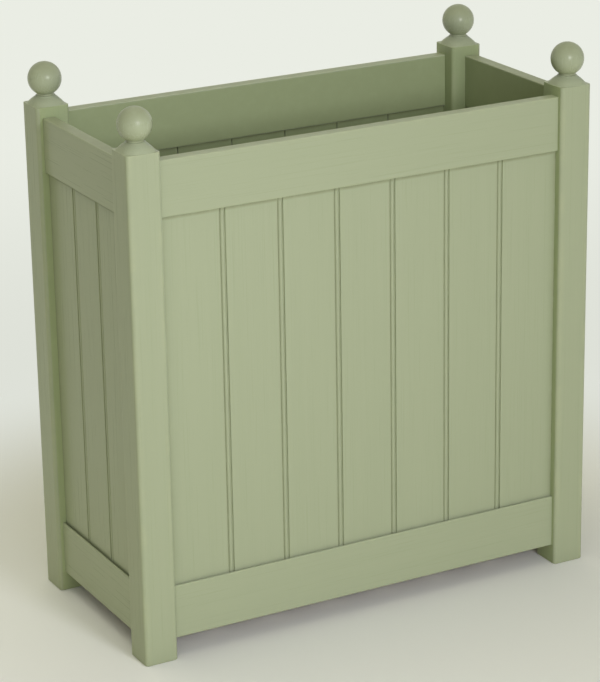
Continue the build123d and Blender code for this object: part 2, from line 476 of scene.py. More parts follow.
@dataclass
class SharedEffects:
    """Node groups that more than one finish uses, with the sizes of their noises."""

    noise_range: Point = (0.25, 0.75)
    broad_scale: Triple = (0.12, 0.12, 0.3)
    sway_scale: Triple = (9.0, 9.0, 1.6)
    fibre_scale: Triple = (1400.0, 1400.0, 22.0)
    ring_power: float = 2.6
    ring_edge: float = 0.93
    wear_scale: float = 26.0
    wear_range: Point = (0.38, 0.7)
    shade_and_dirt_scale: float = 60.0
    shade_and_dirt_range: Point = (0.2, 0.6)
    least_shade_and_dirt: float = 0.55
    strokes: bpy.types.NodeTree = field(init=False)
    rings: bpy.types.NodeTree = field(init=False)
    rubbed: bpy.types.NodeTree = field(init=False)

    def __post_init__(self) -> None:
        """Builds the groups."""
        self.strokes = self._strokes()
        self.rings = self._rings()
        self.rubbed = self._rubbed()

    @staticmethod
    def _group(name: str, inputs: dict[str, str], outputs: tuple[str, ...]) -> tuple[Bench, Any, Any]:
        """Starts a group.

        Args:
            name: Name of the group.
            inputs: Socket type of each input, by name.
            outputs: Names of the value outputs.

        Returns:
            The bench of the group, its input sockets and its output node.
        """
        tree = bpy.data.node_groups.new(name, "ShaderNodeTree")
        for label, kind in inputs.items():
            tree.interface.new_socket(name=label, in_out="INPUT", socket_type=kind)
        for label in outputs:
            tree.interface.new_socket(name=label, in_out="OUTPUT", socket_type="NodeSocketFloat")
        bench = Bench(tree)
        return bench, bench.node("NodeGroupInput").outputs, bench.node("NodeGroupOutput")

    def _strokes(self) -> bpy.types.NodeTree:
        """Makes long thin streaks along the grain: noise on coordinates over a width and a length.

        Returns:
            The group.
        """
        kinds = {"Grain": "NodeSocketVector", "Width": "NodeSocketFloat", "Length": "NodeSocketFloat"}
        bench, given, out = self._group("brush_strokes", kinds, ("Strokes", "Broad"))
        scale = bench.node("ShaderNodeCombineXYZ", {0: given["Width"], 1: given["Width"], 2: given["Length"]})
        fine = bench.vector("DIVIDE", given["Grain"], scale.outputs[0])
        streak = bench.noise(fine, detail=4.0, roughness=0.6)
        broad = bench.noise(fine, self.broad_scale, detail=2.0)
        bench.feed(out.inputs["Strokes"], bench.spread(streak, *self.noise_range))
        bench.feed(out.inputs["Broad"], bench.spread(broad, *self.noise_range))
        return bench.tree

    def _rings(self) -> bpy.types.NodeTree:
        """Makes growth rings: distance from the pith over the spacing, with a sway, as a saw tooth.

        Returns:
            The group.
        """
        kinds = {"Grain": "NodeSocketVector", "Spacing": "NodeSocketFloat", "Waver": "NodeSocketFloat"}
        bench, given, out = self._group("growth_rings", kinds, ("Late Wood", "Fibre"))
        parts = bench.node("ShaderNodeSeparateXYZ", {0: given["Grain"]}).outputs
        sway = bench.noise(given["Grain"], self.sway_scale)
        squares = [bench.math("POWER", part, 2.0) for part in parts[:2]]
        radius = bench.math("SQRT", bench.math("ADD", *squares))
        count = bench.math("DIVIDE", radius, given["Spacing"])
        count = bench.math("MULTIPLY_ADD", sway, given["Waver"], count)
        within = bench.math("FRACT", count)
        tooth = bench.math("POWER", within, self.ring_power)
        falling = bench.spread(within, self.ring_edge, 1.0, 1.0, 0.0)
        bench.feed(out.inputs["Late Wood"], bench.math("MULTIPLY", tooth, falling))
        fibre = bench.noise(given["Grain"], self.fibre_scale, roughness=0.7)
        bench.feed(out.inputs["Fibre"], bench.spread(fibre, *self.noise_range))
        return bench.tree

    def _rubbed(self) -> bpy.types.NodeTree:
        """Makes edge wear, and painted shade with some dirt: each mark broken up by a noise and held to an
        amount.

        Returns:
            The group.
        """
        kinds = {
            "Coordinates": "NodeSocketVector",
            "Arris": "NodeSocketFloat",
            "Crevice": "NodeSocketFloat",
            "Wear": "NodeSocketFloat",
            "Dirt": "NodeSocketFloat",
        }
        bench, given, out = self._group("wear_and_dirt", kinds, ("Worn", "Dirty"))
        patch = bench.noise(given["Coordinates"], self.wear_scale, detail=5.0, roughness=0.65)
        patch = bench.spread(patch, *self.wear_range)
        worn = bench.math("MULTIPLY", bench.math("MULTIPLY", given["Arris"], patch), given["Wear"])
        # Patchy painted shade, with some dirt, where the crevice mark is high
        shade_and_dirt_patches = bench.noise(given["Coordinates"], self.shade_and_dirt_scale, detail=4.0)
        shade_and_dirt_patches = bench.spread(shade_and_dirt_patches, *self.shade_and_dirt_range, self.least_shade_and_dirt, 1.0)
        shade_and_dirt_amount = bench.math("MULTIPLY", bench.math("MULTIPLY", given["Crevice"], shade_and_dirt_patches), given["Dirt"])
        bench.feed(out.inputs["Worn"], worn)
        bench.feed(out.inputs["Dirty"], shade_and_dirt_amount)
        return bench.tree


@dataclass(frozen=True)
class PaintFinish:
    """Sage green eggshell paint, brushed along the grain of softwood that shows through a little."""

    effects: SharedEffects
    name: str = "sage_eggshell_paint"
    thin_coat: Colour = (0.408, 0.447, 0.315)
    full_coat: Colour = (0.394, 0.435, 0.303)
    # Greener coat that paints the light bounced between the inside faces
    inside_bounce_coat: Colour = (0.388, 0.450, 0.262)
    rubbed_coat: Colour = (0.470, 0.500, 0.330)
    # Colour of painted shade in crevices, by rails and posts, on inside faces and on the balls, and of dirt
    # at the posts' feet
    shade_and_dirt_colour: Colour = (0.200, 0.215, 0.115)
    roughness: float = 0.30
    stroke_roughness: float = 0.08
    shade_and_dirt_roughness: float = 0.35
    sheen: float = 0.20
    stroke_width: float = 1.6 * MM
    stroke_length: float = 0.16
    fine_share: float = 0.45
    broad_share: float = 0.55
    ring_spacing: float = 4.5 * MM
    ring_waver: float = 2.4
    wear: float = 0.35
    # Strength of that painted shade and dirt
    dirt: float = 0.45
    ring_relief: float = 0.5
    fibre_relief: float = 0.25
    bump_strength: float = 0.26
    bump_depth: float = 0.11 * MM

    @classmethod
    def on_turning(cls, effects: SharedEffects) -> "PaintFinish":
        """The same paint on a turned and sanded piece, where it lies smoother and takes a shine."""
        return cls(effects, name="sage_turned_paint", roughness=0.24, sheen=0.40, bump_depth=0.03 * MM)

    def material(self) -> bpy.types.Material:
        """Makes the paint's material.

        Returns:
            A material that reads the grain and the marks of a new piece.
        """
        made, bench, shader = new_material(self.name)
        grain = bench.node("ShaderNodeAttribute", attribute_name="grain").outputs["Vector"]
        strokes = bench.placed(
            self.effects.strokes, Grain=grain, Width=self.stroke_width, Length=self.stroke_length
        )
        rings = bench.placed(
            self.effects.rings, Grain=grain, Spacing=self.ring_spacing, Waver=self.ring_waver
        )
        rub = bench.placed(
            self.effects.rubbed,
            Coordinates=grain,
            Arris=bench.mark("arris"),
            Crevice=bench.mark("crevice"),
            Wear=self.wear,
            Dirt=self.dirt,
        )
        broad = bench.math("MULTIPLY", strokes["Broad"], self.broad_share)
        coat = bench.math("MULTIPLY_ADD", strokes["Strokes"], self.fine_share, broad)
        colour = bench.blended(coat, rgba(self.full_coat), rgba(self.thin_coat))
        # Inside faces take the painted green of light bounced between them
        colour = bench.blended(bench.mark("inside_bounce"), colour, rgba(self.inside_bounce_coat))
        colour = bench.blended(rub["Worn"], colour, rgba(self.rubbed_coat))
        # Painted shade, with some dirt, darkens the coat where the crevice mark is high
        colour = bench.blended(rub["Dirty"], colour, rgba(self.shade_and_dirt_colour))
        bench.feed(shader.inputs["Base Color"], colour)
        smoothest = self.roughness - self.stroke_roughness / 2
        rough = bench.math("MULTIPLY_ADD", strokes["Strokes"], self.stroke_roughness, smoothest)
        rough = bench.math("MULTIPLY_ADD", rub["Dirty"], self.shade_and_dirt_roughness, rough)
        bench.feed(shader.inputs["Roughness"], rough)
        shader.inputs["Specular IOR Level"].default_value = self.sheen
        height = bench.math("MULTIPLY_ADD", rings["Late Wood"], self.ring_relief, strokes["Strokes"])
        height = bench.math("MULTIPLY_ADD", rings["Fibre"], self.fibre_relief, height)
        bench.feed(shader.inputs["Normal"], bench.bump(height, self.bump_strength, self.bump_depth))
        return made


@dataclass(frozen=True)
class TimberFinish:
    """Planed unpainted softwood, with growth rings cut through and its own figure on each length."""

    effects: SharedEffects
    grain: GrainAxis
    name: str
    piece_axis: int
    piece_pitch: float
    piece_start: float = 0.0
    early_wood: Colour = (0.56, 0.45, 0.30)
    late_wood: Colour = (0.36, 0.25, 0.13)
    roughness: float = 0.58
    fibre_roughness: float = 0.14
    ring_spacing: float = 3.6 * MM
    ring_waver: float = 5.0
    cut_spread: Triple = (0.09, 0.09, 0.9)
    tone_scale: Triple = (16.0, 16.0, 2.0)
    late_share: float = 0.75
    fibre_share: float = 0.22
    tone_share: float = 0.3
    tone_middle: float = 0.12
    ring_relief: float = 0.6
    bump_strength: float = 0.45
    bump_depth: float = 0.2 * MM

    def material(self) -> bpy.types.Material:
        """Makes the timber's material.

        Returns:
            A material on each length's own coordinates, turned so that the grain runs along Z.
        """
        made, bench, shader = new_material(self.name)
        place = bench.node("ShaderNodeTexCoord").outputs["Object"]
        parts = bench.node("ShaderNodeSeparateXYZ", {0: place}).outputs
        from_edge = bench.math("ADD", parts[self.piece_axis], self.piece_start)
        pieces = bench.math("DIVIDE", from_edge, self.piece_pitch)
        within = bench.math("SUBTRACT", bench.math("FRACT", pieces), 0.5)
        own = dict(enumerate(parts))
        own[self.piece_axis] = bench.math("MULTIPLY", within, self.piece_pitch)
        own_place = bench.node("ShaderNodeCombineXYZ", own).outputs[0]
        number = {"W": bench.math("FLOOR", pieces)}
        cut = bench.node("ShaderNodeTexWhiteNoise", number, noise_dimensions="1D").outputs["Color"]
        offset = bench.vector("MULTIPLY", bench.vector("ADD", cut, (-0.5, -0.5, -0.5)), self.cut_spread)
        turn = {"Vector": own_place, "Rotation": self.grain.value}
        turned = bench.node("ShaderNodeMapping", turn).outputs[0]
        grain = bench.vector("ADD", turned, offset)
        rings = bench.placed(
            self.effects.rings, Grain=grain, Spacing=self.ring_spacing, Waver=self.ring_waver
        )
        tone = bench.noise(grain, self.tone_scale, detail=2.0)
        late = bench.math("MULTIPLY", rings["Late Wood"], self.late_share)
        late = bench.math("MULTIPLY_ADD", rings["Fibre"], self.fibre_share, late)
        late = bench.math("SUBTRACT", late, self.tone_middle)
        late = bench.math("MULTIPLY_ADD", tone, self.tone_share, late)
        colour = bench.blended(late, rgba(self.early_wood), rgba(self.late_wood))
        bench.feed(shader.inputs["Base Color"], colour)
        smoothest = self.roughness - self.fibre_roughness / 2
        rough = bench.math("MULTIPLY_ADD", rings["Fibre"], self.fibre_roughness, smoothest)
        bench.feed(shader.inputs["Roughness"], rough)
        height = bench.math("MULTIPLY_ADD", rings["Late Wood"], self.ring_relief, rings["Fibre"])
        bench.feed(shader.inputs["Normal"], bench.bump(height, self.bump_strength, self.bump_depth))
        return made


@dataclass(frozen=True)
class ZincFinish:
    """Yellow zinc plating on steel, cloudy and a little scuffed."""

    name: str = "yellow_zinc"
    bright: Colour = (0.72, 0.63, 0.42)
    dull: Colour = (0.52, 0.46, 0.33)
    roughness: float = 0.26
    dull_roughness: float = 0.2
    cloud_scale: float = 420.0
    cloud_range: Point = (0.3, 0.7)
    scuff_scale: Triple = (2600.0, 700.0, 2600.0)
    bump_strength: float = 0.3
    bump_depth: float = 0.03 * MM

    def material(self) -> bpy.types.Material:
        """Makes the plating's material on the frame's own coordinates.

        Returns:
            A metal that is duller and rougher in clouds.
        """
        made, bench, shader = new_material(self.name)
        place = bench.node("ShaderNodeTexCoord").outputs["Object"]
        cloud = bench.spread(bench.noise(place, self.cloud_scale, detail=4.0), *self.cloud_range)
        scuff = bench.noise(place, self.scuff_scale)
        rough = bench.math("MULTIPLY_ADD", cloud, self.dull_roughness, self.roughness)
        bench.feed(shader.inputs["Base Color"], bench.blended(cloud, rgba(self.bright), rgba(self.dull)))
        bench.feed(shader.inputs["Roughness"], rough)
        shader.inputs["Metallic"].default_value = 1.0
        bench.feed(shader.inputs["Normal"], bench.bump(scuff, self.bump_strength, self.bump_depth))
        return made


# Pieces of the planter


@dataclass
class PaintedPieces(ABC):
    """New pieces of the planter with one finish, each of which stands for a solid."""

    paint: bpy.types.Material

    @abstractmethod
    def build(self) -> Pieces:
        """Makes each piece and yields it with the node that it stands for."""

    def dress(self) -> None:
        """Builds, finishes and reports each piece, and lets it stand for its solid on the planter."""
        for piece, node in self.build():
            piece.data.materials.append(self.paint)
            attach(piece, PLANTER_BODY)
            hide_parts(node)
            log.info("%s stands for %s with %d faces", piece.name, node, len(piece.data.polygons))


@dataclass(frozen=True)
class Wall:
    """One side of the planter, with its own across, inward and up.

    Attributes:
        side: Which side it is.
        reach: Distance of the post faces from the middle.
        half_span: Half the gap between the side's two posts.
    """

    side: Side
    reach: float
    half_span: float

    @classmethod
    def on(cls, side: Side) -> "Wall":
        """Measures a side from the frame's posts.

        Args:
            side: Which side.

        Returns:
            The side's wall.
        """
        low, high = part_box("post_front_right")
        post = high.x - low.x
        if side in (Side.FRONT, Side.REAR):
            return cls(side, -low.y, high.x - post)
        return cls(side, high.x, -low.y - post)

    def place(self, across: Array, inward: Array, height: Array) -> Array:
        """Puts points of the wall into the frame: the front's coordinates turned about the middle.

        Args:
            across: Distance to the right of the middle, seen from outside.
            inward: Distance behind the post faces.
            height: Height above the ground.

        Returns:
            Points, with the three coordinates on the last axis.
        """
        x, y, z = np.broadcast_arrays(across, np.asarray(inward) - self.reach, height)
        c, s = cos(self.side.value), sin(self.side.value)
        return np.stack((x * c - y * s, x * s + y * c, z), -1)

    def measure(self, node: str) -> tuple[Array, Array]:
        """Measures a node along the wall.

        Args:
            node: The solid to measure.

        Returns:
            Its lowest and its highest across, inward and height.
        """
        x, y, z = np.array(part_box(node)).T
        c, s = cos(self.side.value), sin(self.side.value)
        local = np.stack((x * c + y * s, y * c - x * s + self.reach, z), 1)
        return local.min(0), local.max(0)


@dataclass
class CornerPosts(PaintedPieces):
    """Four square posts with a shoulder that turns from square to round under each ball."""

    arris: float = 5.0 * MM
    shoulder_rise: float = 11.5 * MM
    shoulder_ledge: float = 0.8 * MM
    shoulder_round: float = 26.5 * MM
    collar: float = 13.8 * MM
    shoulder_swell: float = 0.7 * MM
    foot_ease: float = 1.5 * MM
    top_ease: float = 0.6 * MM
    collar_ease: float = 1.2 * MM
    face_steps: int = 10
    face_support: float = 0.985
    arris_steps: int = 8
    body_rows: int = 46
    shoulder_rows: int = 14
    ease_rows: int = 6
    splash_height: float = 14.0 * MM
    splash_dirt: float = 0.45
    wear_start: float = 1.15
    wear_range: float = 0.1

    def _angles(self, half: float) -> Array:
        """Spaces the columns: even steps over each face and finer ones over each rounded arris.

        Args:
            half: Half the post's width.

        Returns:
            Angles round the post.
        """
        edge = np.arctan2(half - self.arris, half)
        face = np.linspace(-edge, edge, self.face_steps)
        near = np.array((-edge, edge)) * self.face_support
        turn = np.linspace(edge, pi / 2 - edge, self.arris_steps + 1)[1:-1]
        quarter = np.sort(np.concatenate((face, near, turn)))
        return (quarter[None, :] + np.arange(4)[:, None] * pi / 2).ravel()

    @staticmethod
    def _reach(angles: Array, half: Array, corner: Array) -> Array:
        """Distance from the axis to a square of given half width with rounded corners.

        On a face it is the half width over the cosine; on a corner it is where the ray meets the circle
        of the corner's radius about the corner's centre.

        Args:
            angles: Angles of the columns.
            half: Half width at each row.
            corner: Corner radius at each row.

        Returns:
            Distances, rows by columns.
        """
        c = np.maximum(np.abs(np.cos(angles)), np.abs(np.sin(angles)))[None, :]
        s = np.minimum(np.abs(np.cos(angles)), np.abs(np.sin(angles)))[None, :]
        h, r = half[:, None], corner[:, None]
        inset = h - r
        along = (c + s) * inset
        on_corner = along + np.sqrt(np.maximum(along**2 - 2 * inset**2 + r**2, 0.0))
        return np.where(h * s / c <= inset, h / c, on_corner)

    def _eased(self, top: float, half: float, ease: float) -> Array:
        """Height and half width over a rounded top edge: a quarter circle of the ease's radius."""
        quarter = np.linspace(0.0, pi / 2, self.ease_rows)
        return np.column_stack((top - ease * (1 - np.sin(quarter)), half - ease * (1 - np.cos(quarter))))

    def _profile(self, half: float, top: float) -> Array:
        """Works out the rows of a post from its foot to its collar.

        The shoulder falls straight from the collar to the ledge, with a swell of half a sine wave. Its
        corner radius is the one that puts the diagonal on a second such line, from the collar to the hip.

        Args:
            half: Half the post's width.
            top: Height of the collar's top.

        Returns:
            Height, half width, corner radius, edge mark and dirt mark of each row.
        """
        quarter = np.linspace(0.0, pi / 2, self.ease_rows)
        rise, draw = self.foot_ease * (1 - np.cos(quarter)), self.foot_ease * (1 - np.sin(quarter))
        foot = np.column_stack((rise, half - draw))
        square_top = top - self.shoulder_rise
        body_z = crowded(self.foot_ease + SUPPORT, square_top - self.top_ease - SUPPORT, self.body_rows)
        body = np.column_stack((body_z, np.full_like(body_z, half)))
        ease = self._eased(square_top, half, self.top_ease)
        slope = np.linspace(0.0, 1.0, self.shoulder_rows)
        swell = self.shoulder_swell * np.sin(pi * slope)
        ledge = half - self.shoulder_ledge
        shoulder_z = square_top + (self.shoulder_rise - self.collar_ease) * slope
        shoulder = np.column_stack((shoulder_z, ledge + (self.collar - ledge) * slope + swell))
        rim = self._eased(top, self.collar, self.collar_ease)[1:]
        parts = (foot, body, ease, shoulder, rim)
        rows = np.concatenate(parts)
        hip = self.shoulder_round + (self.collar - self.shoulder_round) * slope + swell
        turned = (sqrt(2) * shoulder[:, 1] - hip) / (sqrt(2) - 1)
        square = np.concatenate((foot, body, ease))[:, 1] - half + self.arris
        corner = np.minimum(np.concatenate((square, turned, rim[:, 1])), rows[:, 1])
        edge = np.repeat((1.0, 0.0, 1.0, 0.0, 1.0), [len(part) for part in parts])
        dirt = self.splash_dirt * np.exp(-rows[:, 0] / self.splash_height)
        return np.column_stack((rows, corner, edge, dirt))

    def _facing_inside(self, local: Array, middle: Array, half: Array) -> Array:
        """Which points lie on the two faces that look into the trough, or on the arris between them.

        Args:
            local: Points about the post's axis.
            middle: Foot of the post's axis.
            half: Half width of each row.

        Returns:
            Whether each point is sheltered.
        """
        inward_x, inward_y = -np.sign(middle[0]) * local[..., 0], -np.sign(middle[1]) * local[..., 1]
        face = np.isclose(np.maximum(inward_x, inward_y), half[:, None])
        return face | (np.minimum(inward_x, inward_y) > half.max() - self.arris)

    def build(self) -> Pieces:
        """Makes each post and yields it with the node that it stands for."""
        for number, corner in enumerate(Corner):
            node = f"post_{corner.value}"
            low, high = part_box(node)
            half = (high.x - low.x) / 2
            height, width, round_off, edge, dirt = self._profile(half, high.z).T
            angles = self._angles(half)
            reach = self._reach(angles, width, round_off)
            local, middle = upright(node, reach, angles, height)
            below = height[:, None] < high.z - self.shoulder_rise
            over = reach / reach.min(1, keepdims=True) - self.wear_start
            on_arris = np.where(below, np.clip(over / self.wear_range, 0.0, 1.0), 0.0)
            # The faces that look into the trough take the painted green of bounced light
            skin = Skin(
                points=local + middle,
                grain=local + timber_offset(number),
                arris=np.maximum(on_arris, edge[:, None]),
                crevice=np.broadcast_to(dirt[:, None], reach.shape),
                inside_bounce=np.where(below & self._facing_inside(local, middle, width), 1.0, 0.0),
            )
            yield skin.to_object(f"corner_post_{corner.value}"), node


@dataclass
class BallFinials(PaintedPieces):
    """Turned balls on short necks, one on each post."""

    neck_radius: float = 11.5 * MM
    neck_height: float = 2.5 * MM
    crease: float = 0.7 * MM
    # Painted shade in the crease under each ball and over its upper half
    crease_shade_reach: float = 7.0 * MM
    top_shade: float = 1.0
    full_top_shade_at: float = 0.8
    columns: int = 72
    ball_rows: int = 40
    crease_rows: int = 5

    def _profile(self, base: float, radius: float, top: float) -> Array:
        """Works out the turned outline: a quarter-round crease, and an arc from the neck to the top.

        Args:
            base: Height of the neck's foot.
            radius: Radius of the ball.
            top: Height of the ball's top.

        Returns:
            Radius, height and painted shade mark of each row, from the neck's foot upwards.
        """
        centre = top - radius
        start = np.arctan2(base + self.neck_height - centre, self.neck_radius)
        angle = np.linspace(start, pi / 2, self.ball_rows + 1)[:-1]
        ball = np.column_stack((radius * np.cos(angle), centre + radius * np.sin(angle)))
        turn = np.linspace(pi / 2, pi, self.crease_rows)
        foot_radius = self.neck_radius + self.crease * (1 + np.cos(turn))
        foot = np.column_stack((foot_radius, base + self.crease * (1 - np.sin(turn))))
        rows = np.concatenate((foot, ball))
        # Painted shade, darkest in the crease and growing towards the top of the ball
        crease_shade = np.exp(-np.maximum(rows[:, 1] - base, 0.0) / self.crease_shade_reach)
        above = (rows[:, 1] - centre) / (self.full_top_shade_at * radius)
        on_top = self.top_shade * np.clip(above, 0.0, 1.0)
        return np.column_stack((rows, np.maximum(crease_shade, on_top)))

    def build(self) -> Pieces:
        """Makes each finial and yields it with the node that it stands for."""
        angles = np.linspace(0.0, tau, self.columns, endpoint=False)
        for number, corner in enumerate(Corner, start=len(Corner)):
            node = f"finial_{corner.value}"
            low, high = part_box(node)
            reach, height, dirt = self._profile(low.z, (high.x - low.x) / 2, high.z).T
            local, middle = upright(node, reach[:, None], angles, height)
            plain = np.zeros(local.shape[:2])
            skin = Skin(
                points=local + middle,
                grain=local + timber_offset(number),
                arris=plain,
                crevice=plain + dirt[:, None],
                inside_bounce=plain,
                pole=True,
            )
            yield skin.to_object(f"ball_finial_{corner.value}"), node


@dataclass
class WallPieces(PaintedPieces):
    """New pieces of one side, numbered for their places in the log."""

    wall: Wall
    number: int


@dataclass
class FramingRails(WallPieces):
    """Top and bottom rails of one side, each grooved along one edge for the boards."""

    arris: float = 1.5 * MM
    lip_ease: float = 0.4 * MM
    front_lip: float = 2.5 * MM
    back_lip: float = 4.0 * MM
    groove_depth: float = 10.0 * MM
    rows: int = 44
    # Painted shade near the posts, on the inside face and on the plain edge, which is a top rail's top and a
    # bottom rail's underside
    joint_reach: float = 2.5 * MM
    joint_shade: float = 0.4
    inside_shade: float = 0.4
    plain_edge_shade: float = 0.6

    def _section(self, front: float, back: float, height: float) -> Array:
        """Cross-section over inward and height above the plain edge, with a groove in the other edge.

        Args:
            front: Inward distance of the face.
            back: Inward distance of the back.
            height: Height of the rail.

        Returns:
            The closed cross-section.
        """
        r, e = self.arris, self.lip_ease
        near, far = front + self.front_lip, back - self.back_lip
        floor = height - self.groove_depth
        # Crevice marks paint shade in the groove, on the inside face and on the plain edge; the inside face
        # also takes the painted green of bounced light
        return closed(
            rounded((front + r, r), r, 270, 180),
            straight((front, r), (front, height - r)),
            rounded((front + r, height - r), r, 180, 90),
            straight((front + r, height), (near - e, height)),
            rounded((near - e, height - e), e, 90, 0, steps=3),
            straight((near, height - e), (near, floor), crevice=1.0),
            straight((near, floor), (far, floor), crevice=1.0),
            straight((far, floor), (far, height - e), crevice=1.0),
            rounded((far + e, height - e), e, 180, 90, steps=3),
            straight((far + e, height), (back - r, height)),
            rounded((back - r, height - r), r, 90, 0),
            straight((back, height - r), (back, r), crevice=self.inside_shade, inside_bounce=1.0),
            rounded((back - r, r), r, 360, 270),
            straight((back - r, 0.0), (front + r, 0.0), crevice=self.plain_edge_shade),
        )

    def build(self) -> Pieces:
        """Makes both rails and yields each with the node that it stands for."""
        word = self.wall.side.word
        span = self.wall.half_span
        stations = crowded(-span, span, self.rows)
        # Painted shade that deepens towards the posts
        dirt = self.joint_shade * np.exp(-(span - np.abs(stations)) / self.joint_reach)
        for step, level in enumerate(("bottom", "top")):
            node = f"{level}_rail_{word}"
            low, high = self.wall.measure(node)
            section = self._section(low[1], high[1], high[2] - low[2])

            def place(inward: Array, rise: Array, across: Array) -> Array:
                """Stands the section with its groove towards the boards."""
                height = low[2] + rise if level == "bottom" else high[2] - rise
                return self.wall.place(across, inward, height)

            skin = carried(section, stations, place, self.number + step, dirt)
            yield skin.to_object(f"{level}_framing_rail_{word}"), node


@dataclass
class BeadedBoards(WallPieces):
    """Tongue-and-groove boards of one side, each with a bead worked beside its tongue."""

    bead_radius: float = 3.0 * MM
    bead_steps: int = 18
    bead_wear: float = 0.4
    quirk_width: float = 1.5 * MM
    quirk_round: float = 0.5 * MM
    quirk_clearance: float = 0.05 * MM
    paint_fill: float = 1.0 * MM
    edge_ease: float = 0.8 * MM
    quirk_ease: float = 0.7 * MM
    tongue_thickness: float = 3.0 * MM
    tongue_length: float = 6.5 * MM
    tongue_clearance: float = 0.2 * MM
    tongue_slack: float = 0.5 * MM
    rows: int = 40
    face_steps: int = 14
    # Painted shade over the bottom rail, under the top rail, near the posts, in the quirks and joints and on
    # the inside face
    rail_reach: float = 5.0 * MM
    rail_shade: float = 0.35
    eaves_reach: float = 3.0 * MM
    post_reach: float = 4.0 * MM
    quirk_shade: float = 0.9
    fill_shade: float = 0.6
    joint_shade: float = 0.5
    inside_shade: float = 0.4

    def count(self) -> int:
        """Number of boards that the frame has on this side."""
        return sum(name.startswith(f"{self.wall.side.word}_board_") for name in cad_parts)

    def _tongued_edge(self, face: float, right: float) -> list[Array]:
        """Runs round the right-hand edge: quirk, bead and tongue, to the tongue's root at the back.

        Args:
            face: Inward distance of the face.
            right: Where the bead ends and the tongue begins.

        Returns:
            The runs in order.
        """
        r, e, q = self.bead_radius, self.quirk_ease, self.quirk_round
        outer = right - 2 * r - self.quirk_width
        deep = face + r
        filled = deep - self.paint_fill
        fill = asin(self.paint_fill / r)
        paint_end = right + self.quirk_width - self.quirk_clearance
        tip = right + self.tongue_length
        back_of_tongue = deep + self.tongue_thickness
        first, last = 180 + degrees(fill), 360 - degrees(fill)
        bead = rounded((right - r, deep), r, first, last, steps=self.bead_steps, arris=self.bead_wear)
        # The bead is painted darker the deeper it lies in the quirk
        bead[:, 3] = (bead[:, 1] - face) / (filled - face)
        # Crevice marks paint shade in the quirk, over the paint fill and on the tongue's faces
        return [
            rounded((outer - e, face + e), e, 270, 360, steps=3),
            straight((outer, face + e), (outer, filled - q), crevice=self.quirk_shade),
            rounded((outer + q, filled - q), q, 180, 90, steps=3, crevice=1.0, arris=0.0),
            straight((outer + q, filled), (right - r - r * cos(fill), filled), crevice=1.0),
            bead,
            straight((right - r + r * cos(fill), filled), (paint_end, filled), crevice=self.fill_shade),
            straight((paint_end, filled), (paint_end, deep), crevice=1.0),
            straight((paint_end, deep), (tip, deep), crevice=1.0),
            straight((tip, deep), (tip, back_of_tongue), crevice=1.0),
            straight((tip, back_of_tongue), (right, back_of_tongue), crevice=1.0),
        ]

    def _grooved_edge(self, face: float, back: float, left: float) -> list[Array]:
        """Runs round the left-hand edge, with the groove for the neighbour's tongue, to the face.

        Args:
            face: Inward distance of the face.
            back: Inward distance of the back.
            left: Where the board begins.

        Returns:
            The runs in order.
        """
        e = self.edge_ease
        depth = left + self.tongue_length - self.quirk_width + self.tongue_slack
        low = face + self.bead_radius - self.tongue_clearance
        high = face + self.bead_radius + self.tongue_thickness + self.tongue_clearance
        # Crevice marks paint shade in the groove and at the joint
        return [
            straight((left, back), (left, high)),
            straight((left, high), (depth, high), crevice=1.0),
            straight((depth, high), (depth, low), crevice=1.0),
            straight((depth, low), (left, low), crevice=1.0),
            straight((left, low), (left, face + e), crevice=self.joint_shade),
            rounded((left + e, face + e), e, 180, 270, steps=4),
        ]

    def _face(self, face: float, start: float, end: float) -> Array:
        """Runs over the flat face, with points that crowd towards both edges.

        Args:
            face: Inward distance of the face.
            start: Where the flat begins.
            end: Where it ends.

        Returns:
            Rows of the two coordinates and the three marks.
        """
        across = crowded(start, end, self.face_steps)
        marks = np.zeros((len(across), 3))
        return np.column_stack((across, np.full_like(across, face), marks))

    def _section(self, low: Array, high: Array, first: bool, last: bool) -> Array:
        """Cross-section over across and inward, cut off flush where it meets a post.

        Args:
            low: Lowest across, inward and height of the board.
            high: Highest across, inward and height of the board.
            first: Whether the board stands against the left-hand post.
            last: Whether the board stands against the right-hand post.

        Returns:
            The closed cross-section.
        """
        face, back = low[1], high[1]
        left = -self.wall.half_span if first else low[0]
        right = self.wall.half_span if last else high[0] - self.tongue_length
        if first:
            start = left
            left_edge = [straight((left, back), (left, face))]
        else:
            start = left + self.edge_ease
            left_edge = self._grooved_edge(face, back, left)
        if last:
            end = right
            right_edge = [straight((right, face), (right, back))]
        else:
            end = right - 2 * self.bead_radius - self.quirk_width - self.quirk_ease
            root = face + self.bead_radius + self.tongue_thickness
            right_edge = self._tongued_edge(face, right)
            right_edge.append(straight((right, root), (right, back)))
        # The back takes painted shade and the painted green of bounced light
        return closed(
            self._face(face, start, end),
            *right_edge,
            straight((right, back), (left, back), crevice=self.inside_shade, inside_bounce=1.0),
            *left_edge,
        )

    def _stations(self, low: float, high: float, rail_top: float, rail_under: float) -> Array:
        """Heights of the rows: crowded towards both ends, with a few close ones where a rail begins.

        Args:
            low: Lower end of the board.
            high: Upper end of the board.
            rail_top: Top of the bottom rail.
            rail_under: Underside of the top rail.

        Returns:
            The heights in order.
        """
        close = self.eaves_reach * np.linspace(0.0, 2.0, 5)
        even = crowded(low, high, self.rows)
        return np.unique(np.concatenate((even, rail_top + close, rail_under - close)))

    def build(self) -> Pieces:
        """Makes each board and yields it with the node that it stands for."""
        word = self.wall.side.word
        count = self.count()
        rail_top = self.wall.measure(f"bottom_rail_{word}")[1][2]
        rail_under = self.wall.measure(f"top_rail_{word}")[0][2]
        for index in range(1, count + 1):
            node = f"{word}_board_{index}"
            low, high = self.wall.measure(node)
            section = self._section(low, high, index == 1, index == count)
            stations = self._stations(low[2], high[2], rail_top, rail_under)
